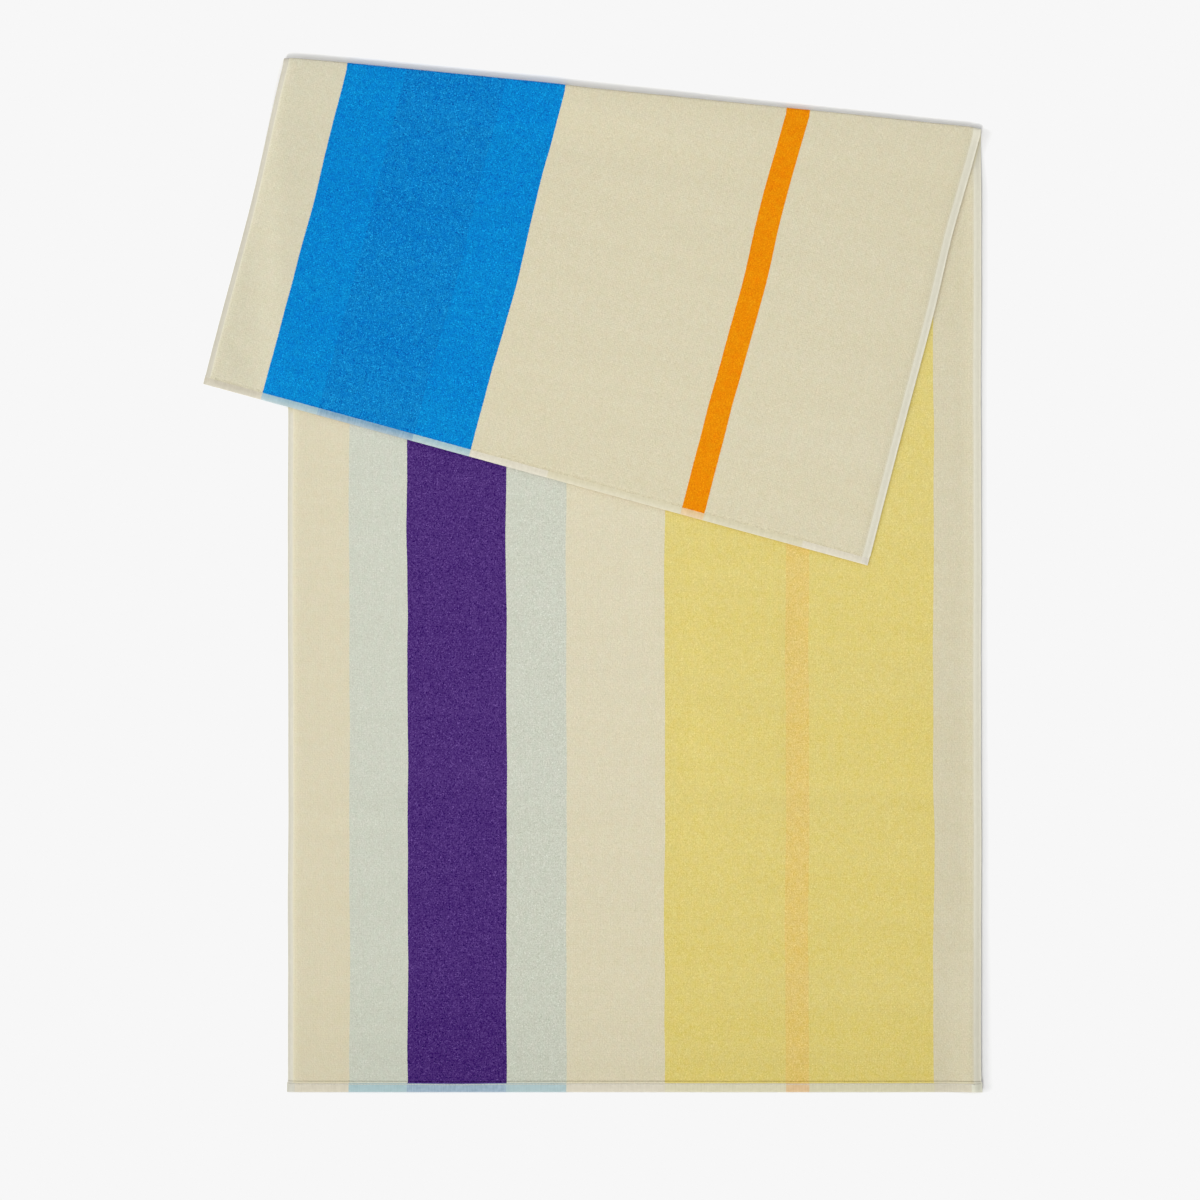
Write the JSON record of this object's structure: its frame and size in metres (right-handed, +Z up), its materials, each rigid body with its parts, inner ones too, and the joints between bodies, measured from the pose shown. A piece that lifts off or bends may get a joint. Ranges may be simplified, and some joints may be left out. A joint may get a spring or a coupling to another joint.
{
  "type": "bath towel",
  "caption": "Striped terry bath towel lying flat, its top end folded over at a slant so that a flap shows the other face.",
  "frame": {"origin": "middle of the rectangle that the lying towel covers, on the surface it rests on", "axes": "+Y from the lower hem to the folded end, along the stripes of the lower part; +X to the right seen from above; +Z up"},
  "size_m": [0.7861, 1.0424, 0.0092],
  "materials": {
    "terry": "looped cotton pile in woven lengthwise stripes, matt"
  },
  "bodies": {
    "root": {"towel": "terry"}
  },
  "joints": []
}
